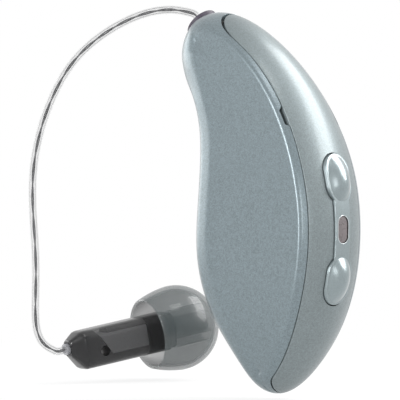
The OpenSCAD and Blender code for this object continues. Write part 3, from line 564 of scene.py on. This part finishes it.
# Case halves
EDGE, SOFT_EDGE, TIP_EDGE, LIP, FRONT_LIP = 0.29, 1.35, 0.4, 0.06, 0.03
HEAD_SOFTENS, HEAD_HARDENS = (3.0, 4.1), (5.2, 6.4)
TIP_SOFTENS, TIP_HARDENS = (10.6, 11.6), (-2, -1.2)
CORNER_STEPS, SPINE_STEPS = 18, 150
CROWN_ROWS, EDGE_ROWS, LIP_ROWS, CHEEK_ROWS, LINER_ROWS = 18, 8, 3, 18, 4
LINER_FRONT, LINER_SPINE = 0.6, 0.8

# Radius, lower end and upper end of the rods that cut the case's openings
EXIT_ROD = (CAP_D / 2 + 0.05, -2.15, 0.9)
CONTACT_ROD, CONTACT_HALF_STEP = (0.78, -1.8, 0.7), 1.6


def edge_round(u):
    """The cheek's edge is crisp along the spine and turns soft over the head and at the tip."""
    a = around(u)
    head = ease(*HEAD_SOFTENS, a) * (1 - ease(*HEAD_HARDENS, a))
    tip = ease(*TIP_SOFTENS, a) if a > FRONT_MIDDLE else 1 - ease(*TIP_HARDENS, a)
    return EDGE + (SOFT_EDGE - EDGE) * head + (TIP_EDGE - EDGE) * tip


def spine_stations(low, top):
    """Places from low to top, closer together in the rounded corners at both ends."""
    near = [(k / CORNER_STEPS) ** CORNER_POWER for k in range(CORNER_STEPS + 1)]
    first = [low + CORNER_LOW * t for t in near]
    last = [top - CORNER_TOP * t for t in reversed(near)]
    return first + between(first[-1], last[0], SPINE_STEPS)[1:-1] + last


SPINE = spine_stations(LOW_AT, TOP_AT)
FRONT = [TOP_AT + (TOP_AT - s) / (TOP_AT - LOW_AT) * (SPANS + LOW_AT - TOP_AT)
         for s in reversed(SPINE[1:-1])]


def facing(j):
    """The number of the front station that faces spine station j."""
    return 2 * len(SPINE) - 2 - j


def lipped(u, v, lip, way):
    """A wall's foot and its rounded lip at v, which ends in the skin on the way side."""
    top = skin(u, v)
    low, high = top + inward(u) * lip, skin(u, v + way * lip / half_t(u))
    return [top + inward(u) * WALL] + [bend(low, top, high, t) for t in between(0, 1, LIP_ROWS)]


def column(u, rim, lip):
    """One section of a half's skin, from the foot of its rim to the edge of the cheek."""
    h, edge = half_t(u), edge_round(u)
    points = lipped(u, rim, lip, 1)
    crown = between(math.asin(rim + lip / h), math.asin(1 - edge / h), CROWN_ROWS)
    points += [skin(u, math.sin(w)) for w in crown[1:]]
    tip = skin(u, 1)
    a, c = points[-1], tip + inward(u) * edge
    return points + [bend(a, tip, c, t) for t in between(0, 1, EDGE_ROWS)[1:]]


def liner_column(u, rim):
    """The inside of one section: plain, and one wall under the skin."""
    x, z = edge_point(u)
    nx, nz = outward(u)
    share = LINER_FRONT + (LINER_SPINE - LINER_FRONT) * spine_share(u)
    points = []
    for w in between(math.asin(rim), math.pi / 2, LINER_ROWS - 1):
        v = math.sin(w)
        d = share * rounding(u) * fall(u, v) + WALL
        points.append(Vector((x - d * nx, v * (half_t(u) - WALL), z - d * nz)))
    return points


def cheek(points, rows):
    """Adds the cheek's points, in rungs from the spine's edge to the front's, and gives its faces."""
    rungs = []
    for j in range(1, len(SPINE) - 1):
        start, end = j * rows + rows - 1, facing(j) * rows + rows - 1
        first = len(points)
        points += between(points[start], points[end], CHEEK_ROWS)[1:-1]
        rungs.append([start, *range(first, first + CHEEK_ROWS - 1), end])
    faces = [(r[k], r[k + 1], s[k + 1], s[k])
             for r, s in zip(rungs, rungs[1:]) for k in range(CHEEK_ROWS)]
    low_tip, top_tip = rows - 1, len(SPINE) * rows - 1
    faces += [(low_tip, rungs[0][k + 1], rungs[0][k]) for k in range(CHEEK_ROWS)]
    faces += [(top_tip, rungs[-1][k], rungs[-1][k + 1]) for k in range(CHEEK_ROWS)]
    return faces


def inside(points, rows, rims):
    """Adds the liner's points and gives its faces, with the rim that joins it to the skin."""
    base, count = len(points), len(rims)
    points += [p for u, share, lip in rims for p in liner_column(u, share)]
    faces = flip(lattice(count, LINER_ROWS, base, wrap_rows=True))
    for k in range(count):
        m = (k + 1) % count
        faces.append((k * rows, base + k * LINER_ROWS, base + m * LINER_ROWS, m * rows))
    deepest = base + LINER_ROWS - 1
    faces += [tuple(deepest + k * LINER_ROWS for k in (j, j + 1, facing(j + 1), facing(j)))
              for j in range(1, len(SPINE) - 2)]
    return faces


def case_half(side, name, node):
    """One half of the case, on the side of y that the sign says."""
    rims = [(u, rim_share(u), LIP) for u in SPINE] + [(u, 0, FRONT_LIP) for u in FRONT]
    columns = [column(*rim) for rim in rims]
    rows = len(columns[0])
    points = [p for c in columns for p in c]
    faces = lattice(len(columns), rows, wrap_rows=True) + cheek(points, rows)
    faces += inside(points, rows, rims)
    if side < 0:
        points, faces = mirrored(points), flip(faces)
    return make(name, points, faces, CASE, "case", node, [node])


middle, CONTACT_DIR = on_edge(CONTACT_AT)
along = Vector((-CONTACT_DIR.z, 0, CONTACT_DIR.x))
CONTACTS = [middle + w * CONTACT_HALF_STEP * along for w in (-1, 1)]
for side, name, node in ((-1, "outer_skin", "outer_case_half"), (1, "inner_skin", "inner_case_half")):
    half = case_half(side, name, node)
    cut(half, rod_tool("exit_tool", EXIT, EXIT_DIR, *EXIT_ROD))
    for p in CONTACTS:
        cut(half, rod_tool("contact_tool", p, CONTACT_DIR, *CONTACT_ROD))

# Spine cover, with a gap round the rocker that is narrower than in the part's source
ROCKER_GAP = 0.1
LAMP_POINT = on_edge(LAMP_AT)[0]
COVER_ROWS, NECK_STEPS, OPENING_ARC, PLATE_ARC = 20, 10, 20, 24
OPENING_LOW, OPENING_HIGH, SAME_POINT = -3, 1.5, 1e-6
# The dark strip under the seam and the ports, which is painted shade for the gaps
SHADE_STRIP_HALF, SHADE_STRIP_DEPTH, SHADE_STRIP_THICK = 0.42, 0.55, 0.15
SHADE_STRIP_INSET, SHADE_STRIP_LIMIT = 0.004, 0.93


def bone(grow, per_arc):
    """The rocker's outline as (y, z) points, grown by a margin, counted round once."""
    w, b = PAD_W / 2 + grow, BAR_W / 2 + grow
    reach, straight = (ROCKER_L - PAD_L) / 2, (PAD_L - PAD_W) / 2
    low, top = reach - straight, reach + straight
    neck = low - math.sqrt(max(0, w * w - b * b))
    right = [(b, z) for z in between(0, neck, NECK_STEPS)[:-1]]
    right += [(w * math.sin(a), low - w * math.cos(a))
              for a in between(math.asin(b / w), math.pi / 2, per_arc)]
    right += [(w * math.cos(a), top + w * math.sin(a)) for a in between(0, math.pi / 2, per_arc)[1:]]
    half = right + [(-y, z) for y, z in reversed(right[:-1])]
    loop = half + [(-y, -z) for y, z in half]
    return [p for k, p in enumerate(loop) if k == 0 or math.dist(p, loop[k - 1]) > SAME_POINT]


def spine_cover():
    """The cover, with the rocker's opening cut out of it."""
    columns = []
    for u in spine_stations(COVER_LOW, COVER_TOP):
        h, v = half_t(u), cover_share(u)
        lip = min(LIP, v * h / 2)
        side = lipped(u, v, lip, -1)
        across = [skin(u, (v - lip / h) * (1 - 2 * k / COVER_ROWS)) for k in range(1, COVER_ROWS)]
        columns.append(side + across + mirrored(reversed(side)))
    rows, count = len(columns[0]), len(columns)
    faces = lattice(count, rows)
    faces += [(k * rows, k * rows + rows - 1, (k + 1) * rows + rows - 1, (k + 1) * rows)
              for k in range(count - 1)]
    faces.append(tuple(range(rows)))
    faces.append(tuple(reversed(range((count - 1) * rows, count * rows))))
    obj = make("cover_skin", [p for c in columns for p in c], faces, COVER, "case", "spine_cover",
               ["spine_cover"])
    cut(obj, prism_tool("bone_tool", [LAMP_POINT + Vector((x, y, z))
                                      for x in (OPENING_LOW, OPENING_HIGH)
                                      for y, z in bone(ROCKER_GAP, OPENING_ARC)]))


def seam_shade_strip(side, name):
    """A dark strip under the seam and both ports, on one side of the cover, as painted shade seen
    through the gap.
    """
    stations = spine_stations(LOW_AT + SHADE_STRIP_INSET, TOP_AT - SHADE_STRIP_INSET)
    points = []
    for u in stations:
        for d in (SHADE_STRIP_DEPTH, SHADE_STRIP_DEPTH + SHADE_STRIP_THICK):
            for w in (-SHADE_STRIP_HALF, SHADE_STRIP_HALF):
                p = skin(u, max(0, min(SHADE_STRIP_LIMIT, seam_share(u) + w / half_t(u))), d)
                points.append(Vector((p.x, side * p.y, p.z)))
    faces = []
    for a in range(0, len(points) - 4, 4):
        b = a + 4
        faces += [(a, a + 1, b + 1, b), (a + 2, b + 2, b + 3, a + 3),
                  (a, b, b + 2, a + 2), (a + 1, a + 3, b + 3, b + 1)]
    end = len(points) - 4
    faces += [(0, 2, 3, 1), (end, end + 1, end + 3, end + 2)]
    make(name, points, faces, SOFT, "case", "spine_cover")


spine_cover()
# Dark strips under the seam on both sides: painted shade for the gap
seam_shade_strip(-1, "seam_shade_strip_outer")
seam_shade_strip(1, "seam_shade_strip_inner")

# Rocker
PLATE_T = 1.1
PAD_INSET, PAD_CURVE, PAD_FOOT, PAD_RINGS, PAD_SIDES = 0.05, 2.25, 0.5, 26, 64
WINDOW_STRAIGHT, UPPER_HALF = 0.55, 1e-9
HOLE_R, HOLE_LOW, HOLE_HIGH, HOLE_SIDES = 0.74, -3, 1, 48
RIM_R, RIM_THICK, RIM_TURNS, RIM_SIDES = 0.75, 0.03, 64, 10
LENS_R, LENS_FOOT, LENS_UNDER, LENS_DOME, LENS_RINGS, LENS_SIDES = 0.69, -1.0, 0.03, 0.06, 8, 48

# Rings of the plate, from its underside up and in over its face: share of the outline, depth
PLATE_RINGS = [(0.96, PLATE_T + BAR_RISE), (1.0, 0.07), (0.985, 0.02), (0.95, 0), (0.9, 0), (0.8, 0),
               (0.6, 0), (0.3, 0), (0.02, 0)]

# Radius of the arc through the cover's crest at the lamp and at both ends of the rocker
reach_u = ROCKER_L / 2 / speed(LAMP_AT)
drop = (edge_point(LAMP_AT)[0]
        - (edge_point(LAMP_AT + reach_u)[0] + edge_point(LAMP_AT - reach_u)[0]) / 2)
ARC_R = ((ROCKER_L / 2) ** 2 + drop ** 2) / (2 * drop)


def arc_x(z, rise=0.0):
    return math.sqrt((ARC_R + rise) ** 2 - z * z) - ARC_R


def oblong(radius, w):
    """A point (y, z) of the window's outline at an angle: two half circles and straight sides."""
    c, s = math.cos(w), math.sin(w)
    return radius * c, radius * s + math.copysign(WINDOW_STRAIGHT, s + UPPER_HALF)


def plate():
    """The rocker's plate, with the window's hole."""
    loop = bone(0, PLATE_ARC)
    reach = (ROCKER_L - PAD_W) / 2
    points = []
    for share, depth in PLATE_RINGS:
        for y, z in loop:
            m = max(-reach, min(reach, z))
            drawn = m + (z - m) * share
            points.append(LAMP_POINT + Vector((arc_x(drawn, BAR_RISE) - depth, y * share, drawn)))
    obj = make("rocker_plate", points, capped(len(PLATE_RINGS), len(loop)), ROCKER, "rocker",
               "rocker_button", ["rocker_button"])
    cut(obj, prism_tool("slot_tool", [LAMP_POINT + Vector((x, *oblong(HOLE_R, w)))
                                      for x in (HOLE_LOW, HOLE_HIGH) for w in angles(HOLE_SIDES)]))


def pad(name, way):
    """A domed pad, at the upper or the lower end of the rocker."""
    centre = way * (ROCKER_L - PAD_L) / 2
    a, b = PAD_L / 2 - PAD_INSET, PAD_W / 2 - PAD_INSET
    points = []
    for k in range(PAD_RINGS + 1):
        share = math.sin(math.pi / 2 * k / PAD_RINGS)
        height = PAD_RISE * (1 - share ** 2)
        for w in angles(PAD_SIDES):
            c, s = math.cos(w), math.sin(w)
            q = (abs(c) ** PAD_CURVE + abs(s) ** PAD_CURVE) ** (-1 / PAD_CURVE)
            y, z = b * share * q * c, centre + a * share * q * s
            points.append(LAMP_POINT + Vector((arc_x(z) + height, y, z)))
    points += [p - Vector((PAD_FOOT, 0, 0)) for p in points[-PAD_SIDES:]]
    make(name, points, capped(PAD_RINGS + 2, PAD_SIDES), ROCKER, "rocker", "rocker_button")


def window_rim():
    """The oval rim round the window, in a bright colour that is a painted highlight on the hole's
    edge.
    """
    points = []
    for w in angles(RIM_TURNS):
        for t in angles(RIM_SIDES):
            y, z = oblong(RIM_R + RIM_THICK * math.cos(t), w)
            points.append(LAMP_POINT + Vector((arc_x(z, BAR_RISE) + RIM_THICK * math.sin(t), y, z)))
    make("window_rim", points, lattice(RIM_TURNS, RIM_SIDES, wrap_rows=True, wrap_cols=True), RIM_HIGHLIGHT,
         "rocker", "rocker_button")


def window():
    """The lens, domed and a little under the bar's face."""
    points = [LAMP_POINT + Vector((LENS_FOOT, *oblong(LENS_R, w))) for w in angles(LENS_SIDES)]
    for k in range(LENS_RINGS):
        share = 1 - k / LENS_RINGS
        for w in angles(LENS_SIDES):
            y, z = [share * c for c in oblong(LENS_R, w)]
            x = arc_x(z, BAR_RISE) - LENS_UNDER - LENS_DOME * share ** 2
            points.append(LAMP_POINT + Vector((x, y, z)))
    make("window_lens", points, capped(LENS_RINGS + 1, LENS_SIDES), LENS, "case", "indicator_lens",
         ["indicator_lens"], 40)


plate()
pad("rocker_pad_upper", 1)
pad("rocker_pad_lower", -1)
window_rim()
window()

# Receiver, with places along it counted from its nose
NOSE_H, NOSE_W = SHELL_H * 0.42, SHELL_W * 0.5
TIP_SHARE, TIP_ROUND = 0.9, 0.4
BEVEL, BEVEL_STEPS = (0.06, 1.26), 8
BEVEL_ROUND = (0.45, 0.95)
SHOULDER_AT, SHOULDER_H, SHOULDER_W = 1.34, 0.05, 0.04
SIDES, SIDE_STEPS = (1.5, 10.8), 12
COLLAR_AT, COLLAR_INSET = 10.85, 0.15
INSET = 0.09
FILL_BEVEL, FILL_ROUND, FILL_STEPS = (0.16, 1.38), (0.35, 0.8), 4
CORE_NARROW, FILL_END, CORE_ENDS, END_ENDS = 1.1, 3.6, (4.2, 8.4), (8.4, 10.7)
SPEAKER_H, SPEAKER_NARROW, SPEAKER_ROUND, SPEAKER_Z = 2.1, 0.5, 0.3, 0.15
SPEAKER_ENDS, SLANT = (3.75, 8.35), 0.6
TAIL_AT, TAIL_R, TAIL_REACH = (3.3, 0, -0.4), 0.5, 3
BEAD_R, BEAD_AHEAD, SHELL_BEAD_DEPTH, FILL_BEAD_DEPTH = 0.58, 1, 1.13, 1.15
ARC_STEPS, BORE_SIDES, SHELL_SHARP = 8, 40, 40


def section(h, w, r, cz, x, slant=0.0):
    """Points of a rounded oblong across the receiver's axis, leaning back by the slant."""
    loop = []
    for sy, sz, start in ((1, 1, 0), (-1, 1, 90), (-1, -1, 180), (1, -1, 270)):
        for k in range(ARC_STEPS + 1):
            a = math.radians(start + 90 * k / ARC_STEPS)
            z = cz + sz * (h / 2 - r) + r * math.sin(a)
            loop.append(at_receiver(x - slant * z, sy * (w / 2 - r) + r * math.cos(a), z))
    return loop


def full_section(x, inset=0.0, slant=0.0):
    """A section of the shell behind its nose, drawn in by the inset."""
    return section(SHELL_H - 2 * inset, SHELL_W - 2 * inset, SHELL_ROUND - inset, 0, x, slant)


def bevel_section(t, ends, rounds, inset=0.0):
    """A section of the bevelled nose, t from 0 at its small end to 1 at its large end."""
    return section(NOSE_H + (SHELL_H - NOSE_H) * t - 2 * inset,
                   NOSE_W + (SHELL_W - NOSE_W) * t - 2 * inset,
                   rounds[0] + (rounds[1] - rounds[0]) * t, WIRE_Z * (1 - t),
                   ends[0] + (ends[1] - ends[0]) * t)


def loft(name, sections, mat, slot, nodes=(), sharp=None):
    return make(name, [p for s in sections for p in s], flip(capped(len(sections), len(sections[0]))),
                mat, "receiver", slot, nodes, sharp)


def receiver_bores(obj, bead_depth):
    """Cuts the retention tail's bore and the bead's bore, which is this deep, out of a piece."""
    cut(obj, rod_tool("tail_tool", at_receiver(*TAIL_AT), RY, TAIL_R, -TAIL_REACH, TAIL_REACH,
                      BORE_SIDES))
    cut(obj, rod_tool("bead_tool", at_receiver(0, 0, WIRE_Z), RX, BEAD_R, -BEAD_AHEAD, bead_depth,
                      BORE_SIDES))


def receiver_shell():
    sections = [section(NOSE_H * TIP_SHARE, NOSE_W * TIP_SHARE, TIP_ROUND, WIRE_Z, 0.0)]
    sections += [bevel_section(k / BEVEL_STEPS, BEVEL, BEVEL_ROUND) for k in range(BEVEL_STEPS)]
    sections.append(section(SHELL_H - SHOULDER_H, SHELL_W - SHOULDER_W, SHELL_ROUND, 0, SHOULDER_AT))
    sections += [full_section(x) for x in between(*SIDES, SIDE_STEPS)]
    sections += [full_section(x, COLLAR_INSET) for x in (COLLAR_AT, SHELL_L)]
    shell = loft("shell_skin", sections, SHELL, "receiver_shell", ["receiver_shell"], SHELL_SHARP)
    receiver_bores(shell, SHELL_BEAD_DEPTH)


def receiver_fills():
    """The dark fills that show through the smoked shell, and the speaker between them."""
    sections = [bevel_section(t, FILL_BEVEL, FILL_ROUND, INSET) for t in between(0, 1, FILL_STEPS)]
    sections.append(full_section(FILL_END, INSET, SLANT))
    receiver_bores(loft("shell_nose_fill", sections, FILL, "receiver_shell"), FILL_BEAD_DEPTH)
    loft("shell_end_fill", [full_section(x, INSET) for x in END_ENDS], FILL, "receiver_shell")
    loft("shell_core_fill", [section(SHELL_H - 2 * INSET, SHELL_W - CORE_NARROW, SHELL_ROUND - INSET,
                                     0, x) for x in CORE_ENDS], FILL, "receiver_shell")
    loft("speaker_skin", [section(SPEAKER_H, SHELL_W - SPEAKER_NARROW, SPEAKER_ROUND, SPEAKER_Z, x,
                                  slant) for x, slant in zip(SPEAKER_ENDS, (SLANT, 0))],
         CAN, "receiver_speaker", ["receiver_speaker"], SHELL_SHARP)


receiver_shell()
receiver_fills()

# Ear dome, with its profile as (radius, place along the axis) from the ball's centre
SKIRT_R, SKIRT_X, SKIRT_LEAN, KNEE = 3.5, -3.2, math.radians(7), 1.5
DOME_GRIP, BORE_FRONT, SLEEVE_BACK, CHAMFER = 0.08, 3.4, -0.6, 0.1
RIM_NARROW, RIM_BACK, RIM_ROUND = 0.8, 0.05, (-0.02, -0.12)
SKIRT_ROWS, BALL_ROWS, BORE_ROWS, SLEEVE_ROWS, INNER_ROWS, HEM_ROWS = 12, 40, 8, 6, 34, 10
DOME_TURNS, DOME_SHARP = 96, 50


def on_ball(radius, angle):
    return Vector((radius * math.sin(angle), radius * math.cos(angle)))


def dome_profile():
    """The dome's section: up the outside, through the bore, and back along the inside."""
    bore_r, inner = SPOUT_R + DOME_GRIP, DOME_R - DOME_SKIN
    leave = math.pi / 2 + SKIRT_LEAN
    down = Vector((math.cos(leave), -math.sin(leave)))
    rim = Vector((SKIRT_R, SKIRT_X))
    inner_rim = rim + Vector((-DOME_SKIN * RIM_NARROW, RIM_BACK))
    flank, inner_flank = on_ball(DOME_R, leave), on_ball(inner, leave)
    profile = [bend(rim, flank + down * KNEE, flank, t) for t in between(0, 1, SKIRT_ROWS)[:-1]]
    profile += [on_ball(DOME_R, a) for a in between(leave, math.asin(bore_r / DOME_R), BALL_ROWS)]
    profile += [(bore_r, x) for x in between(BORE_FRONT, SLEEVE_BACK, BORE_ROWS)]
    profile.append((SLEEVE_R - CHAMFER, SLEEVE_BACK))
    top = math.sqrt(inner ** 2 - SLEEVE_R ** 2)
    profile += [(SLEEVE_R, x) for x in between(SLEEVE_BACK + CHAMFER, top, SLEEVE_ROWS)]
    profile += [on_ball(inner, a) for a in between(math.asin(SLEEVE_R / inner), leave, INNER_ROWS)[1:]]
    profile += [bend(inner_flank, inner_flank + down * KNEE, inner_rim, t)
                for t in between(0, 1, HEM_ROWS)[1:]]
    profile.append((rim + inner_rim) / 2 + Vector(RIM_ROUND))
    return profile


def ear_dome():
    profile = dome_profile()
    points = [at_receiver(DOME_X + x, r * math.cos(w), r * math.sin(w))
              for w in angles(DOME_TURNS) for r, x in profile]
    faces = lattice(DOME_TURNS, len(profile), wrap_rows=True, wrap_cols=True)
    make("dome_skin", points, faces, SILICONE, "dome", "ear_dome", ["ear_dome"], DOME_SHARP)


ear_dome()

# Lamps, in metres and watts
LAMP_FAR = 0.3


def area(name, way, size, power, along=(0, 0, 1)):
    """A soft box that faces the object from the way side, with its long side along."""
    data = bpy.data.lights.new(name, "AREA")
    data.shape = "RECTANGLE"
    data.size, data.size_y = size
    data.energy = power
    back = Vector(way).normalized()
    up = (Vector(along) - back * back.dot(Vector(along))).normalized()
    turn = Matrix((up.cross(back), up, back)).transposed().to_4x4()
    in_scene(name, data).matrix_world = Matrix.Translation(TARGET + back * LAMP_FAR) @ turn


area("key", (0.42, 0.6, 0.58), (0.15, 0.32), 1.1, along=(0.87, -0.05, -0.48))
area("left", (-0.97, -0.1, 0.02), (0.25, 0.25), 0.42)
area("front", (-0.06, -0.96, 0.24), (0.035, 0.22), 0.58)
area("top", (0.34, -0.1, 0.9), (0.06, 0.09), 0.09)
area("side", (0.9, -0.4, 0.1), (0.06, 0.11), 0.1)

# World and floor, in metres
SOFT_TINT, SOFT_STRENGTH = (0.95, 0.98, 1, 1), 0.56
WHITE, WHITE_STRENGTH = (1, 1, 1, 1), 1.0
PALE, PALE_ROUGH = (0.9, 0.9, 0.9, 1), 0.9
FLOOR_HALF, FLOOR_DROP = 3.0, 0.0006
GLOW_SHARES, GLOW_BAND = (0.8, 1), (0.02, 0.1)


def seen(nodes, links):
    """1 for the rays that see the backdrop straight, mirrored or through something clear."""
    path = nodes.new("ShaderNodeLightPath")
    total = path.outputs["Is Camera Ray"]
    for name in ("Is Glossy Ray", "Is Transmission Ray"):
        larger = nodes.new("ShaderNodeMath")
        larger.operation = "MAXIMUM"
        links.new(total, larger.inputs[0])
        links.new(path.outputs[name], larger.inputs[1])
        total = larger.outputs["Value"]
    return total


def studio():
    """A world that lights softly and looks white."""
    world = bpy.data.worlds.new("studio")
    bpy.context.scene.world = world
    world.use_nodes = True
    nodes, links = world.node_tree.nodes, world.node_tree.links
    soft = nodes["Background"]
    soft.inputs["Color"].default_value = SOFT_TINT
    soft.inputs["Strength"].default_value = SOFT_STRENGTH
    white = nodes.new("ShaderNodeBackground")
    white.inputs["Color"].default_value = WHITE
    white.inputs["Strength"].default_value = WHITE_STRENGTH
    shader = mix_shaders(nodes, links, seen(nodes, links), soft.outputs["Background"],
                         white.outputs["Background"])
    links.new(shader, nodes["World Output"].inputs["Surface"])


def floor_glow(nodes, links):
    """The share of the floor that glows, which rises away from the object, where it is seen."""
    where = nodes.new("ShaderNodeTexCoord")
    away = nodes.new("ShaderNodeVectorMath")
    away.operation = "LENGTH"
    links.new(where.outputs["Object"], away.inputs[0])
    share = nodes.new("ShaderNodeMath")
    share.operation = "MULTIPLY"
    links.new(ramp(nodes, links, away.outputs["Value"], *GLOW_SHARES, *GLOW_BAND), share.inputs[0])
    links.new(seen(nodes, links), share.inputs[1])
    return share.outputs["Value"]


def floor():
    """A plain pale floor under the object, which glows white but still takes its shadow."""
    mat, nodes, links, bsdf = node_tree("floor_pale")
    bsdf.inputs["Base Color"].default_value = PALE
    bsdf.inputs["Roughness"].default_value = PALE_ROUGH
    glow = nodes.new("ShaderNodeEmission")
    glow.inputs["Strength"].default_value = WHITE_STRENGTH
    shader = mix_shaders(nodes, links, floor_glow(nodes, links), bsdf.outputs["BSDF"],
                         glow.outputs["Emission"])
    links.new(shader, nodes["Material Output"].inputs["Surface"])
    low = cad_box[0][2] - FLOOR_DROP
    mesh = bpy.data.meshes.new("floor")
    mesh.from_pydata([(x * FLOOR_HALF, y * FLOOR_HALF, low)
                      for x, y in ((-1, -1), (1, -1), (1, 1), (-1, 1))], [], [(0, 1, 2, 3)])
    mesh.materials.append(mat)
    obj = in_scene("floor", mesh)


studio()
floor()

scene = bpy.context.scene
scene.view_settings.view_transform = "Standard"
scene.view_settings.look = "None"
